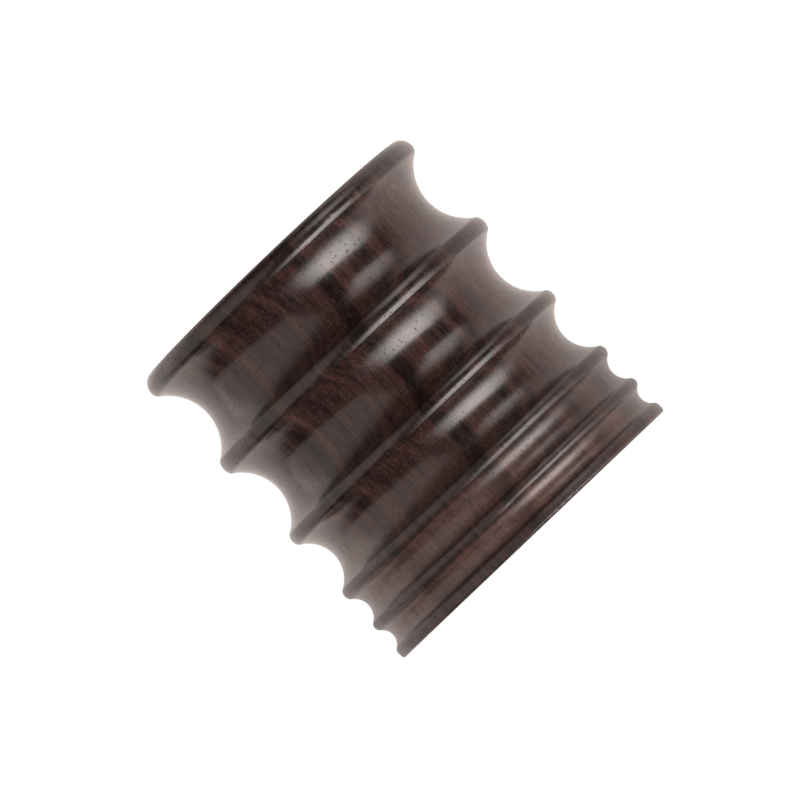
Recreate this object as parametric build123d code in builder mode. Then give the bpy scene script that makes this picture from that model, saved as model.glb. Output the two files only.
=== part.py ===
"""Dip pen holder: a lathe-turned block of dark rosewood that stands six dip pens upright.

The body is one turning, ringed by five coves that grow from the foot to the lip, with a rounded bead
between them. Six blind sockets are drilled down from a shallow dish in its top, each lined with a
flanged brass sleeve. Under the foot, a steel disc is screwed into a pocket as ballast, and a cork pad
glued into a shallow recess covers it.

Millimetres. +Z is up along the turning axis, and the origin is the centre of the base.
"""

import os
from math import cos, isclose, pi, sin, sqrt

from build123d import *

# Turned body
body_diameter = 60.0
body_height = 63.3
cove_widths = (4.0, 5.45, 10.5, 14.1, 15.05)  # foot to lip; a taller body stretches them all alike
cove_depths = (1.45, 1.9, 3.55, 4.4, 4.5)  # below the beads' crests
bead_widths = (1.7, 2.0, 2.3, 2.7)  # between the coves, foot to lip
bead_crown = 0.4  # rise of a bead's crest above its two arrises
arris_softening = 0.25
foot_band_height = 2.1
foot_edge_radius = 0.5
foot_shoulder_radius = 1.0
lip_band_height = 3.4
lip_shoulder_radius = 1.7
lip_crown_width = 1.4  # of the rounding between the lip's crest and its flat top
lip_crown_softening = 0.4

# Dish in the top
lip_land_width = 2.9
lip_inner_radius = 1.2
dish_depth = 2.0
dish_corner_radius = 0.6

# Pen sockets and their sleeves
pen_bore = 9.0
ring_socket_count = 5
socket_wall = 3.5  # of wood left between a ring socket and the floor of the deepest cove
sleeve_wall = 0.5
sleeve_glue_gap = 0.05
flange_width = 0.8
flange_thickness = 0.6
sleeve_mouth_radius = 0.3

# Underside: pad, ballast and screw
foot_ring_width = 5.0
pad_thickness = 1.5
pad_gap = 0.1
pad_edge_chamfer = 0.15
pad_ledge_width = 5.0
ballast_thickness = 6.0
ballast_gap = 0.15
ballast_edge_chamfer = 0.4
screw_length = 14.0
screw_head_diameter = 7.6
screw_head_rim = 0.3
screw_thread_diameter = 4.0
screw_core_diameter = 2.8
screw_thread_pitch = 1.6
screw_point_length = 2.4
screw_slot_width = 1.0
screw_slot_depth = 1.0
screw_hole_gap = 0.2  # around the shank, in the ballast
screw_thread_gap = 0.02  # around the thread, in the wood
pilot_end_gap = 0.5
wood_over_pilot = 2.0

# Worked out from the sizes above
body_radius = body_diameter / 2
arris_radius = body_radius - bead_crown
lip_crown_radius = body_radius - lip_crown_width
dish_floor_height = body_height - dish_depth
dish_radius = lip_crown_radius - lip_land_width - lip_inner_radius

pad_recess_radius = body_radius - foot_ring_width
pad_radius = pad_recess_radius - pad_gap
ballast_pocket_radius = pad_recess_radius - pad_ledge_width
ballast_radius = ballast_pocket_radius - ballast_gap
ballast_pocket_top = pad_thickness + ballast_thickness
pilot_top = pad_thickness + screw_length + pilot_end_gap

sleeve_outer_radius = pen_bore / 2 + sleeve_wall
socket_radius = sleeve_outer_radius + sleeve_glue_gap
socket_floor_height = pilot_top + wood_over_pilot
socket_depth = dish_floor_height - socket_floor_height
flange_radius = socket_radius + flange_width
socket_ring_radius = body_radius - max(cove_depths) - socket_wall - socket_radius
socket_centres = [(0.0, 0.0)] + [
    (socket_ring_radius * cos(angle), socket_ring_radius * sin(angle))
    for angle in (pi / 2 + 2 * pi * n / ring_socket_count for n in range(ring_socket_count))
]


def shoulder_height(radius):
    """Height of an arc that is upright at a crest and falls by bead_crown to an arris."""
    return sqrt(2 * radius * bead_crown - bead_crown**2)


def outer_profile():
    """Draws the turned outline from the foot's lower edge to the lip's top and returns its two ends."""
    start = (body_radius - foot_edge_radius, 0)
    foot_side = (body_radius, foot_edge_radius)
    foot_crest = (body_radius, foot_band_height - shoulder_height(foot_shoulder_radius))
    at = (arris_radius, foot_band_height)
    RadiusArc(start, foot_side, -foot_edge_radius)
    Line(foot_side, foot_crest)
    RadiusArc(foot_crest, at, -foot_shoulder_radius)
    room = body_height - foot_band_height - lip_band_height - sum(bead_widths)
    stretch = room / sum(cove_widths)
    for n, (width, depth) in enumerate(zip(cove_widths, cove_depths)):
        cove_middle = at[1] + width * stretch / 2
        cove_top = at[1] + width * stretch
        ThreePointArc(at, (body_radius - depth, cove_middle), (arris_radius, cove_top))
        at = (arris_radius, cove_top)
        if n < len(bead_widths):
            bead_top = cove_top + bead_widths[n]
            ThreePointArc(at, (body_radius, (cove_top + bead_top) / 2), (arris_radius, bead_top))
            at = (arris_radius, bead_top)
    lip_crest = (body_radius, at[1] + shoulder_height(lip_shoulder_radius))
    end = (lip_crown_radius, body_height)
    RadiusArc(at, lip_crest, -lip_shoulder_radius)
    rise = body_height - lip_crest[1]
    RadiusArc(lip_crest, end, -(rise**2 + lip_crown_width**2) / (2 * lip_crown_width))
    return start, end


with BuildPart() as turned_body:
    with BuildSketch(Plane.XZ) as turned_section:
        with BuildLine():
            foot_edge, lip_edge = outer_profile()
            lip_inner = (dish_radius + lip_inner_radius, body_height)
            dish_top = (dish_radius, body_height - lip_inner_radius)
            dish_side = (dish_radius, dish_floor_height + dish_corner_radius)
            dish_edge = (dish_radius - dish_corner_radius, dish_floor_height)
            Line(lip_edge, lip_inner)
            RadiusArc(lip_inner, dish_top, -lip_inner_radius)
            Line(dish_top, dish_side)
            RadiusArc(dish_side, dish_edge, dish_corner_radius)
            Polyline(dish_edge, (0, dish_floor_height), (0, 0), foot_edge)
        make_face()
    revolve(axis=Axis.Z)
    rings = turned_body.edges().filter_by(GeomType.CIRCLE)
    fillet(rings.filter_by(lambda ring: isclose(ring.radius, arris_radius, abs_tol=1e-4)), arris_softening)
    lip_rings = turned_body.edges().filter_by(GeomType.CIRCLE).group_by(Axis.Z)[-1]
    fillet(lip_rings.sort_by(SortBy.RADIUS)[-1], lip_crown_softening)
    with Locations(*[(x, y, dish_floor_height) for x, y in socket_centres]):
        Hole(socket_radius, socket_depth)
    with Locations(Location((0, 0, 0), (180, 0, 0))):
        Hole(pad_recess_radius, pad_thickness)
        Hole(ballast_pocket_radius, ballast_pocket_top)
        Hole(screw_thread_diameter / 2 + screw_thread_gap, pilot_top)
turned_body.part.label = "turned_body"


def sleeve(name, centre):
    """A brass tube that lines one socket, with a thin flange resting on the dish and a rounded mouth."""
    with BuildPart() as tube:
        with BuildSketch(Plane.XY.offset(socket_floor_height)):
            with Locations(centre):
                Circle(sleeve_outer_radius)
        extrude(amount=socket_depth)
        with BuildSketch(Plane.XY.offset(dish_floor_height)):
            with Locations(centre):
                Circle(flange_radius)
        extrude(amount=flange_thickness)
        rim = tube.faces().sort_by(Axis.Z)[-1].edges()
        fillet(rim, sleeve_mouth_radius)
        with Locations((*centre, dish_floor_height + flange_thickness)):
            Hole(pen_bore / 2, socket_depth + flange_thickness)
        mouth = tube.edges().filter_by(GeomType.CIRCLE).group_by(Axis.Z)[-1].sort_by(SortBy.RADIUS)[0]
        fillet(mouth, sleeve_mouth_radius)
    tube.part.label = name
    return tube.part


with BuildPart() as ballast_disc:
    with BuildSketch(Plane.XY.offset(pad_thickness)):
        Circle(ballast_radius)
    extrude(amount=ballast_thickness)
    chamfer(ballast_disc.edges().filter_by(GeomType.CIRCLE), ballast_edge_chamfer)
    with Locations(Location((0, 0, pad_thickness), (180, 0, 0))):
        CounterSinkHole(
            screw_thread_diameter / 2 + screw_hole_gap,
            screw_head_diameter / 2 + screw_head_rim,
            ballast_thickness,
            90,
        )
ballast_disc.part.label = "ballast_disc"

with BuildPart() as ballast_screw:
    with BuildSketch(Plane.XZ):
        with BuildLine():
            head_bottom = pad_thickness
            rim_top = head_bottom + screw_head_rim
            neck = rim_top + (screw_head_diameter - screw_thread_diameter) / 2
            tip = head_bottom + screw_length
            outline = [
                (0, head_bottom),
                (screw_head_diameter / 2, head_bottom),
                (screw_head_diameter / 2, rim_top),
                (screw_thread_diameter / 2, neck),
            ]
            thread_start = pad_thickness + ballast_thickness
            turns = int((tip - screw_point_length - thread_start) / screw_thread_pitch)
            outline.append((screw_thread_diameter / 2, thread_start))
            for turn in range(turns):
                root = thread_start + screw_thread_pitch * (turn + 0.5)
                outline.append((screw_core_diameter / 2, root))
                outline.append((screw_thread_diameter / 2, root + screw_thread_pitch / 2))
            outline.append((screw_core_diameter / 2, tip - screw_point_length))
            outline.append((0, tip))
            Polyline(*outline, close=True)
        make_face()
    revolve(axis=Axis.Z)
    with Locations((0, 0, pad_thickness)):
        Box(
            screw_head_diameter,
            screw_slot_width,
            screw_slot_depth,
            align=(Align.CENTER, Align.CENTER, Align.MIN),
            mode=Mode.SUBTRACT,
        )
ballast_screw.part.label = "ballast_screw"

with BuildPart() as base_pad:
    with BuildSketch():
        Circle(pad_radius)
    extrude(amount=pad_thickness)
    chamfer(base_pad.edges().group_by(Axis.Z)[0], pad_edge_chamfer)
base_pad.part.label = "base_pad"

pieces = [turned_body.part, ballast_disc.part, ballast_screw.part, base_pad.part]
pieces.append(sleeve("centre_sleeve", socket_centres[0]))
for number, centre in enumerate(socket_centres[1:], start=1):
    pieces.append(sleeve(f"ring_sleeve_{number}", centre))

os.makedirs("parts", exist_ok=True)
for piece in pieces:
    export_step(piece, f"parts/{piece.label}.step")
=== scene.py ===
"""Dip pen holder: looks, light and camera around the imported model.

Metres and degrees, in the part's own frame: +Z up along the turning axis, origin at the centre of the
base. Azimuths turn about +Z, from 0 towards the camera (-Y) to 90 towards +X.
"""

from math import cos, radians, sin

import bpy
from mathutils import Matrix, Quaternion, Vector


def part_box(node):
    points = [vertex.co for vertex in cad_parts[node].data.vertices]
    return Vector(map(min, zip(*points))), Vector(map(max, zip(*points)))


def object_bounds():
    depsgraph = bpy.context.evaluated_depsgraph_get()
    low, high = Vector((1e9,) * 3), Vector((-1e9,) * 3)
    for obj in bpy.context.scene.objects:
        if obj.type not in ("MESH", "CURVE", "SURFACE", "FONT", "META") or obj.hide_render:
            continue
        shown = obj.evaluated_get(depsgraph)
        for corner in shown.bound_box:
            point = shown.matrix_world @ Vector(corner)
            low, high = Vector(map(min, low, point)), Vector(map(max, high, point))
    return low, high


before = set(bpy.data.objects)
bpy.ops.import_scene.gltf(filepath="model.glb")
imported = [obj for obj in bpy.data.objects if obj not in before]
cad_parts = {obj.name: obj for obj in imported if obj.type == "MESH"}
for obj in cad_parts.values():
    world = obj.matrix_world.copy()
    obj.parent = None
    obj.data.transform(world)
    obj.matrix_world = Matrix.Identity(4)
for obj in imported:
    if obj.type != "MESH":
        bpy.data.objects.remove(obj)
cad_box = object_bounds()

MM = 0.001
CENTRE = (cad_box[0] + cad_box[1]) / 2
BODY_RADIUS = cad_box[1].x


def direction(azimuth, elevation):
    """The unit vector at that azimuth and elevation."""
    turn = radians(azimuth)
    lift = radians(elevation)
    return Vector((sin(turn) * cos(lift), -cos(turn) * cos(lift), sin(lift)))


# Camera ---------------------------------------------------------------------------------------------

CAMERA_DISTANCE = 1.572  # far enough for the outline to show almost no perspective
CAMERA_ROLL = -43.6  # the holder leans over to the left, its foot towards the lower right
LENS_MM = 424.3
SENSOR_MM = 36.0
AIM = CENTRE + Vector((-0.73, 0.0, -0.01)) * MM  # the middle of the picture


def make_camera():
    """A long lens level with the foot, rolled so that the turning axis runs across the frame."""
    data = bpy.data.cameras.new("camera")
    data.lens = LENS_MM
    data.sensor_width = SENSOR_MM
    data.clip_start = 0.1
    data.clip_end = 20.0
    camera = bpy.data.objects.new("camera", data)
    bpy.context.scene.collection.objects.link(camera)
    camera.location = (AIM.x, -CAMERA_DISTANCE, 0.0)
    look = (AIM - camera.location).to_track_quat("-Z", "Y")
    camera.rotation_mode = "QUATERNION"
    camera.rotation_quaternion = look @ Quaternion((0, 0, 1), radians(CAMERA_ROLL))
    bpy.context.scene.camera = camera


# Nodes ----------------------------------------------------------------------------------------------

MIX_A, MIX_B, MIX_OUT = 6, 7, 2  # a Mix node's colour sockets, which share their names with others
NOISE_SPAN = {"From Min": 0.3, "From Max": 0.7}  # nearly all of a noise texture's values lie in here
FLATTEN = 1e6  # a scale along Z so large that height no longer counts


def linear(hex_colour):
    """An sRGB hex colour as the linear values that a shader takes."""
    channels = [int(hex_colour[i : i + 2], 16) / 255 for i in (1, 3, 5)]
    return [c / 12.92 if c <= 0.04045 else ((c + 0.055) / 1.055) ** 2.4 for c in channels] + [1.0]


def add(tree, kind, inputs=None, stops=None, **settings):
    """Adds a node: settings go on it, inputs on its sockets as values or links, stops on its ramp."""
    node = tree.nodes.new("ShaderNode" + kind)
    for name, value in settings.items():
        setattr(node, name, value)
    for name, value in (inputs or {}).items():
        if isinstance(value, bpy.types.NodeSocket):
            tree.links.new(value, node.inputs[name])
        else:
            node.inputs[name].default_value = value
    for n, (position, hex_colour) in enumerate(stops or []):
        element = node.color_ramp.elements[n] if n < 2 else node.color_ramp.elements.new(position)
        element.position = position
        element.color = linear(hex_colour)
    return node


def new_material(name):
    """A new material, its node tree and its Principled shader."""
    material = bpy.data.materials.new(name)
    material.use_nodes = True
    return material, material.node_tree, material.node_tree.nodes["Principled BSDF"]


def distance_from(tree, point, centre):
    """The socket that holds a point's distance from the upright line through a centre."""
    flat = add(tree, "Mapping", {"Vector": point, "Location": (centre.x, centre.y, 0),
                                 "Scale": (1, 1, FLATTEN)}, vector_type="TEXTURE")
    return add(tree, "VectorMath", {0: flat.outputs[0]}, operation="LENGTH").outputs["Value"]


# Stage ----------------------------------------------------------------------------------------------

BRIGHT_WAY = (0.22, 1.0, 0.0)  # the room brightens behind the holder and a little to its right
PANEL_DISTANCE = 1.0
FLOOR_HALF = 3.0
PAPER = linear("#f1f1f0")


def make_world():
    """A studio that lights the gloss and the body colour apart, as crossed polarisers do.

    In the gloss the room is dark on the camera's side and white behind the holder. The body colour is lit
    by a white tent, brighter from below. The camera itself sees plain white.
    """
    world = bpy.data.worlds.new("studio")
    world.use_nodes = True
    world.cycles.sampling_method = "NONE"  # its light differs by kind of ray, so it isn't sampled as a lamp
    bpy.context.scene.world = world
    tree = world.node_tree
    tree.nodes.clear()
    ray = add(tree, "TexCoord").outputs["Generated"]
    behind = add(tree, "VectorMath", {0: ray, 1: BRIGHT_WAY}, operation="DOT_PRODUCT")
    back = add(tree, "MapRange", {"Value": behind.outputs["Value"], "From Min": -0.02, "From Max": 0.40,
                                  "To Min": 0.015, "To Max": 1.1}, interpolation_type="SMOOTHSTEP")
    height = add(tree, "SeparateXYZ", {"Vector": ray}).outputs["Z"]
    around = add(tree, "MapRange", {"Value": height, "From Min": -1.0, "From Max": 1.0,
                                    "To Min": 1.2, "To Max": 0.25})
    room = add(tree, "Background", {"Color": linear("#fff1eb"), "Strength": back.outputs["Result"]})
    tent = add(tree, "Background", {"Color": (1, 1, 1, 1), "Strength": around.outputs["Result"]})
    white = add(tree, "Background", {"Color": (1, 1, 1, 1), "Strength": 1.0})
    paths = add(tree, "LightPath")
    lit = add(tree, "MixShader", {0: paths.outputs["Is Diffuse Ray"], 1: room.outputs[0],
                                  2: tent.outputs[0]})
    seen = add(tree, "MixShader", {0: paths.outputs["Is Camera Ray"], 1: lit.outputs[0],
                                   2: white.outputs[0]})
    add(tree, "OutputWorld", {"Surface": seen.outputs[0]})


def softbox(name, azimuth, elevation, width, height, radiance, colour, fades, roll=0.0, gloss=True):
    """A soft panel that faces the holder and lights either its gloss or its body colour.

    fades are the shares of the panel over which it dims towards its low-azimuth edge, its high-azimuth
    edge, its bottom and its top. roll turns the panel about the way it faces.
    """
    data = bpy.data.lights.new(name, "AREA")
    data.shape = "RECTANGLE"
    data.size = width
    data.size_y = height
    data.color = linear(colour)[:3]
    data.energy = 4 * radiance * width * height  # a panel's radiance is a quarter of its power per area
    light = bpy.data.objects.new(name, data)
    bpy.context.scene.collection.objects.link(light)
    away = direction(azimuth, elevation)
    light.location = CENTRE + away * PANEL_DISTANCE
    light.rotation_mode = "QUATERNION"
    light.rotation_quaternion = away.to_track_quat("Z", "Y") @ Quaternion((0, 0, 1), radians(roll))
    light.visible_camera = False
    light.visible_glossy = gloss
    light.visible_diffuse = not gloss

    data.use_nodes = True
    tree = data.node_tree
    place = add(tree, "SeparateXYZ", {"Vector": add(tree, "NewGeometry").outputs["Parametric"]})
    share = 1.0
    for axis, edge, inwards, fade in zip("XXYY", (0, 1, 0, 1), (1, -1, 1, -1), fades):
        dim = add(tree, "MapRange", {"Value": place.outputs[axis], "From Min": edge,
                                     "From Max": edge + inwards * fade}, interpolation_type="SMOOTHSTEP")
        share = add(tree, "Math", {0: share, 1: dim.outputs[0]}, operation="MULTIPLY").outputs[0]
    emission = next(node for node in tree.nodes if node.type == "EMISSION")
    tree.links.new(share, emission.inputs["Strength"])


def make_floor():
    """White paper on a light table, which glows because the tent above it is dim.

    It is clear from below, so that it doesn't hide the holder's underside.
    """
    corners = [(x * FLOOR_HALF, y * FLOOR_HALF, 0) for x, y in ((-1, -1), (1, -1), (1, 1), (-1, 1))]
    mesh = bpy.data.meshes.new("floor")
    mesh.from_pydata(corners, [], [(0, 1, 2, 3)])
    floor = bpy.data.objects.new("floor", mesh)
    bpy.context.scene.collection.objects.link(floor)
    material, tree, shader = new_material("floor_paper")
    shader.inputs["Base Color"].default_value = PAPER
    shader.inputs["Emission Color"].default_value = PAPER
    shader.inputs["Emission Strength"].default_value = 0.5
    shader.inputs["Roughness"].default_value = 0.9
    below = add(tree, "NewGeometry").outputs["Backfacing"]
    clear = add(tree, "BsdfTransparent")
    sheet = add(tree, "MixShader", {0: below, 1: shader.outputs[0], 2: clear.outputs[0]})
    tree.links.new(sheet.outputs[0], tree.nodes["Material Output"].inputs["Surface"])
    mesh.materials.append(material)
    floor.visible_shadow = False
    floor.visible_glossy = False
    floor.visible_diffuse = False


# Rosewood -------------------------------------------------------------------------------------------

RING_AZIMUTH = 82  # the growth rings face this way
RING_TURN = radians(RING_AZIMUTH - 90)
RING_SPACING = 3.0 * MM
RING_WANDER = 5 * MM
PITH = direction(RING_AZIMUTH - 180, 0) * 90 * MM  # the tree's heart lay this far outside the block
PALE_WAY = direction(-90, -70)  # the heartwood pales towards the foot, and a little towards one side
ARRIS_RADIUS = BODY_RADIUS - 0.4 * MM  # where a bead's crown meets the coves beside it
CREST_INNER_RADIUS = BODY_RADIUS - 1.0 * MM  # the painted shade and duller gloss on the beads' crests fade in from here

WOOD_DARK = "#1d1210"
WOOD_BROWN = "#2e1d1a"
WOOD_RED = "#3b2520"
WOOD_LIGHT = "#4a3027"
WOOD_PALE = "#6a4c43"
WOOD_VESSEL = "#120a08"


def streaks(tree, point, size, turn=0.0, detail=2.0, roughness=0.5):
    """Noise drawn out to streaks of that size in millimetres along X, Y and Z, turned about the axis."""
    drawn_out = add(tree, "Mapping", {"Vector": point, "Rotation": (0, 0, turn),
                                      "Scale": Vector(size) * MM}, vector_type="TEXTURE")
    return add(tree, "TexNoise", {"Vector": drawn_out.outputs[0], "Scale": 1.0, "Detail": detail,
                                  "Roughness": roughness})


def growth_bands(tree, point):
    """Noise over the distance from the tree's heart, which wanders by a few millimetres up the block."""
    drift = streaks(tree, point, (14, 14, 80))
    shift = add(tree, "VectorMath", {0: drift.outputs["Color"], 1: (0.5,) * 3}, operation="SUBTRACT")
    moved = add(tree, "VectorMath", {0: shift.outputs[0], 1: (RING_WANDER,) * 3, 2: point},
                operation="MULTIPLY_ADD")
    rings = add(tree, "Math", {0: distance_from(tree, moved.outputs[0], PITH), 1: RING_SPACING},
                operation="DIVIDE")
    return add(tree, "TexNoise", {"W": rings.outputs[0], "Scale": 1.0, "Detail": 1.5, "Roughness": 0.5},
               noise_dimensions="1D")


def open_vessels(tree, point):
    """1 inside the vessels, upright tubes about 0.1 mm wide and 9 mm long, and 0 in the wood between."""
    tubes = add(tree, "Mapping", {"Vector": point, "Scale": Vector((0.5, 0.5, 9)) * MM},
                vector_type="TEXTURE")
    cells = add(tree, "TexVoronoi", {"Vector": tubes.outputs[0], "Scale": 1.0}, feature="F1")
    return add(tree, "MapRange", {"Value": cells.outputs["Distance"], "From Min": 0.08, "From Max": 0.17,
                                  "To Min": 1.0, "To Max": 0.0})


def rosewood():
    """Rosewood, scraped and sanded on the lathe, then oiled and buffed.

    Nearly black growth bands over red-brown heartwood, thin grain lines along the axis, open vessels that
    a cove cuts into short dark dashes, and the faint cross lines of its storied rays and of the sanding.
    Painted shade darkens the beads' crests, which are also a little duller. The small coves by the foot are
    paler and duller.
    """
    material, tree, shader = new_material("oiled_rosewood")
    point = add(tree, "TexCoord").outputs["Object"]
    growth = growth_bands(tree, point)
    vessel = open_vessels(tree, point)
    grain = streaks(tree, point, (0.45, 1.5, 24), RING_TURN, detail=3.0, roughness=0.6)
    fibre = streaks(tree, point, (0.24, 0.28, 2.2), RING_TURN, roughness=0.6)
    patches = streaks(tree, point, (3.5, 7, 45), RING_TURN)
    cross = streaks(tree, point, (2.5, 2.5, 0.3), roughness=0.55)
    # the beads' crests: where the painted shade, the duller gloss and the lesser paling go
    crest = add(tree, "MapRange", {"Value": distance_from(tree, point, CENTRE),
                                   "From Min": CREST_INNER_RADIUS, "From Max": ARRIS_RADIUS},
                interpolation_type="SMOOTHSTEP")

    # Colour: the growth bands and the grain choose it, and the finer marks make it lighter or darker
    figure = add(tree, "Math", {0: growth.outputs["Fac"], 1: grain.outputs["Fac"]}, operation="ADD")
    figure = add(tree, "Math", {0: figure.outputs[0], 1: 0.5}, operation="MULTIPLY")
    body = add(tree, "ValToRGB", {"Fac": figure.outputs[0]},
               stops=[(0.34, WOOD_DARK), (0.46, WOOD_BROWN), (0.56, WOOD_RED), (0.70, WOOD_LIGHT)])
    # painted shade on the beads' crests: they are darkened to 0.7 of the wood's colour
    tone = add(tree, "MapRange", {"Value": crest.outputs[0], "To Min": 1.0, "To Max": 0.7})
    for marks, swing in ((grain, 0.14), (fibre, 0.26), (cross, 0.20), (patches, 0.25)):
        shade = add(tree, "MapRange", {"Value": marks.outputs["Fac"], **NOISE_SPAN,
                                       "To Min": 1 - swing, "To Max": 1 + swing})
        tone = add(tree, "Math", {0: tone.outputs[0], 1: shade.outputs[0]}, operation="MULTIPLY")

    # Paling towards the foot, less on the beads' crests
    along = add(tree, "VectorMath", {0: point, 1: PALE_WAY}, operation="DOT_PRODUCT")
    paling = add(tree, "MapRange", {"Value": along.outputs["Value"], "From Min": -20 * MM,
                                    "From Max": -4 * MM, "To Min": 0.0, "To Max": 0.48},
                 interpolation_type="SMOOTHSTEP")
    hollow = add(tree, "MapRange", {"Value": crest.outputs[0], "To Min": 1.0, "To Max": 0.25})
    paling = add(tree, "Math", {0: paling.outputs[0], 1: hollow.outputs[0]}, operation="MULTIPLY")
    paled = add(tree, "Mix", {0: paling.outputs[0], MIX_A: body.outputs["Color"], MIX_B: linear(WOOD_PALE)},
                data_type="RGBA")
    wood = add(tree, "VectorMath", {0: paled.outputs[MIX_OUT], 1: tone.outputs[0]}, operation="MULTIPLY")
    wood = add(tree, "Mix", {0: vessel.outputs[0], MIX_A: wood.outputs[0], MIX_B: linear(WOOD_VESSEL)},
               data_type="RGBA")
    tree.links.new(wood.outputs[MIX_OUT], shader.inputs["Base Color"])

    # Gloss: buffed wax, less well buffed near the foot, and none in the vessels
    height = add(tree, "SeparateXYZ", {"Vector": point}).outputs["Z"]
    buffed = add(tree, "MapRange", {"Value": height, "From Min": 11 * MM, "From Max": 26 * MM,
                                    "To Min": 0.32, "To Max": 0.20}, interpolation_type="SMOOTHSTEP")
    uneven = add(tree, "MapRange", {"Value": fibre.outputs["Fac"], **NOISE_SPAN,
                                    "To Min": -0.03, "To Max": 0.05})
    rough = add(tree, "Math", {0: buffed.outputs[0], 1: uneven.outputs[0]}, operation="ADD")
    for place, dulling in ((crest, 0.06), (vessel, 0.8)):
        rough = add(tree, "Math", {0: place.outputs[0], 1: dulling, 2: rough.outputs[0]},
                    operation="MULTIPLY_ADD", use_clamp=True)
    tree.links.new(rough.outputs[0], shader.inputs["Roughness"])
    shader.inputs["IOR"].default_value = 1.5

    # Relief: raised fibres and cross lines, sunk vessels
    relief = add(tree, "Math", {0: fibre.outputs["Fac"], 1: 0.22}, operation="MULTIPLY")
    for marks, rise in ((cross.outputs["Fac"], 0.14), (vessel.outputs[0], -1.0)):
        relief = add(tree, "Math", {0: marks, 1: rise, 2: relief.outputs[0]}, operation="MULTIPLY_ADD")
    bump = add(tree, "Bump", {"Height": relief.outputs[0], "Distance": 0.04 * MM, "Strength": 1.0})
    tree.links.new(bump.outputs[0], shader.inputs["Normal"])
    return material


# Metals and cork ------------------------------------------------------------------------------------


def lathe_marks(tree, point, centre, spacing):
    """Rings round that centre that a lathe tool leaves across a face and along a side."""
    height = add(tree, "SeparateXYZ", {"Vector": point}).outputs["Z"]
    path = add(tree, "Math", {0: distance_from(tree, point, centre), 1: height}, operation="ADD")
    turns = add(tree, "Math", {0: path.outputs[0], 1: spacing}, operation="DIVIDE")
    return add(tree, "TexNoise", {"W": turns.outputs[0], "Scale": 1.0, "Detail": 2.0, "Roughness": 0.7},
               noise_dimensions="1D")


def turned_metal(tree, shader, colour, marks, smoothest, swing, depth):
    """Gives a metal its colour, a roughness that the marks raise by their swing, and the marks' depth."""
    rough = add(tree, "Math", {0: marks.outputs["Fac"], 1: swing, 2: smoothest}, operation="MULTIPLY_ADD")
    bump = add(tree, "Bump", {"Height": marks.outputs["Fac"], "Distance": depth, "Strength": 1.0})
    tree.links.new(colour, shader.inputs["Base Color"])
    tree.links.new(rough.outputs[0], shader.inputs["Roughness"])
    tree.links.new(bump.outputs[0], shader.inputs["Normal"])
    shader.inputs["Metallic"].default_value = 1.0


def turned_brass(name):
    """Brass tube with a spun flange, turned bright, lacquered and handled.

    The tool's rings draw the highlights out round the mouth. Where the lacquer has worn, the brass has
    browned in soft clouds, and the clouds are duller than the rest. The rings are drawn twice as coarse as
    a finishing cut leaves them, so that they show.
    """
    material, tree, shader = new_material(f"turned_brass_{name}")
    point = add(tree, "TexCoord").outputs["Object"]
    low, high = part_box(name)
    marks = lathe_marks(tree, point, (Vector(low) + Vector(high)) / 2, spacing=0.12 * MM)
    clouds = add(tree, "TexNoise", {"Vector": point, "Scale": 1 / (2.2 * MM), "Detail": 4.0,
                                    "Roughness": 0.6})
    brown = add(tree, "MapRange", {"Value": clouds.outputs["Fac"], "From Min": 0.45, "From Max": 0.80},
                interpolation_type="SMOOTHSTEP")
    colour = add(tree, "Mix", {0: brown.outputs[0], MIX_A: linear("#cfa765"), MIX_B: linear("#9a7644")},
                 data_type="RGBA")
    dull = add(tree, "MapRange", {"Value": brown.outputs[0], "To Min": 0.22, "To Max": 0.38})
    turned_metal(tree, shader, colour.outputs[MIX_OUT], marks, smoothest=dull.outputs[0], swing=0.16,
                 depth=0.006 * MM)
    return material


def zinc_plated_steel(name, bare, passivated, spacing):
    """Turned mild steel, bright zinc plated and passivated: grey, with faint straw clouds."""
    material, tree, shader = new_material(name)
    point = add(tree, "TexCoord").outputs["Object"]
    marks = lathe_marks(tree, point, CENTRE, spacing)
    clouds = add(tree, "TexNoise", {"Vector": point, "Scale": 1 / (5 * MM), "Detail": 3.0})
    colour = add(tree, "ValToRGB", {"Fac": clouds.outputs["Fac"]},
                 stops=[(0.35, bare), (0.5, passivated), (0.65, bare)])
    turned_metal(tree, shader, colour.outputs["Color"], marks, smoothest=0.2, swing=0.3, depth=0.01 * MM)
    return material


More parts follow.
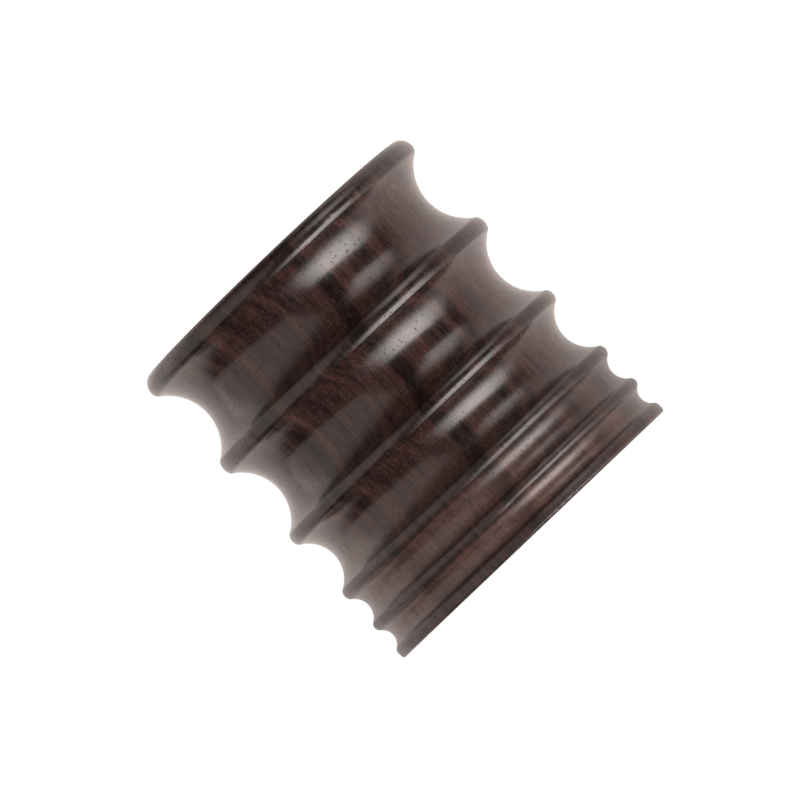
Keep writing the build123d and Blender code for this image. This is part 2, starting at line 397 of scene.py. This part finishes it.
def pressed_cork():
    """Agglomerated cork sheet, cut and sanded.

    Granules of one to two millimetres, each a little lighter or darker, dark seams of binder between them,
    and a few nearly black flecks of bark.
    """
    material, tree, shader = new_material("pressed_cork")
    point = add(tree, "TexCoord").outputs["Object"]
    wobble = add(tree, "TexNoise", {"Vector": point, "Scale": 1 / (1.1 * MM), "Detail": 2.0})
    bent = add(tree, "VectorMath", {0: wobble.outputs["Color"], 1: (0.5 * MM,) * 3, 2: point},
               operation="MULTIPLY_ADD")
    granules = {"Vector": bent.outputs[0], "Scale": 1 / (1.7 * MM)}
    grains = add(tree, "TexVoronoi", granules, feature="F1")
    seams = add(tree, "TexVoronoi", granules, feature="DISTANCE_TO_EDGE")
    each = add(tree, "SeparateXYZ", {"Vector": grains.outputs["Color"]}).outputs["X"]
    cork = add(tree, "ValToRGB", {"Fac": each},
               stops=[(0.0, "#3a2617"), (0.09, "#8a6038"), (0.5, "#ad7f4e"), (1.0, "#c79c69")])
    cells = add(tree, "TexNoise", {"Vector": point, "Scale": 1 / (0.25 * MM), "Detail": 2.0})
    speck = add(tree, "MapRange", {"Value": cells.outputs["Fac"], **NOISE_SPAN,
                                   "To Min": 0.8, "To Max": 1.15})
    seam = add(tree, "MapRange", {"Value": seams.outputs["Distance"], "From Min": 0.0, "From Max": 0.09,
                                  "To Min": 0.45, "To Max": 1.0})
    shade = add(tree, "Math", {0: speck.outputs[0], 1: seam.outputs[0]}, operation="MULTIPLY")
    colour = add(tree, "VectorMath", {0: cork.outputs["Color"], 1: shade.outputs[0]}, operation="MULTIPLY")
    relief = add(tree, "Math", {0: cells.outputs["Fac"], 1: 0.35, 2: seam.outputs[0]},
                 operation="MULTIPLY_ADD")
    bump = add(tree, "Bump", {"Height": relief.outputs[0], "Distance": 0.12 * MM, "Strength": 1.0})
    tree.links.new(colour.outputs[0], shader.inputs["Base Color"])
    tree.links.new(bump.outputs[0], shader.inputs["Normal"])
    shader.inputs["Roughness"].default_value = 0.88
    return material


# The scene ------------------------------------------------------------------------------------------

make_camera()
make_world()
make_floor()
softbox("key", azimuth=47, elevation=-46, width=1.5, height=1.04, radiance=7.3, colour="#fffaf8",
        fades=(0.4, 0.48, 0.6, 0.08), roll=20)
softbox("second", azimuth=56, elevation=41, width=0.95, height=0.75, radiance=2.98, colour="#fff8f5",
        fades=(0.2, 0.5, 0.1, 0.7))
softbox("fill", azimuth=-66, elevation=25, width=2.8, height=2.1, radiance=0.76, colour="#fff1ea",
        fades=(0.03, 0.02, 0.03, 0.4))
softbox("lamp", azimuth=42, elevation=-22, width=0.9, height=0.7, radiance=4.24, colour="#fffdfb",
        fades=(0.3, 0.3, 0.3, 0.3), gloss=False)

finishes = {
    "turned_body": rosewood(),
    "ballast_disc": zinc_plated_steel("zinc_plated_disc", "#b4b8bc", "#b9b4a6", spacing=0.25 * MM),
    "ballast_screw": zinc_plated_steel("zinc_plated_screw", "#b9b6ad", "#c4b58c", spacing=0.1 * MM),
    "base_pad": pressed_cork(),
}
# The other nodes are the sleeves, each turned about its own centre
for name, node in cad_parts.items():
    node.data.materials.clear()
    node.data.materials.append(finishes[name] if name in finishes else turned_brass(name))

bpy.context.scene.view_settings.view_transform = "Standard"
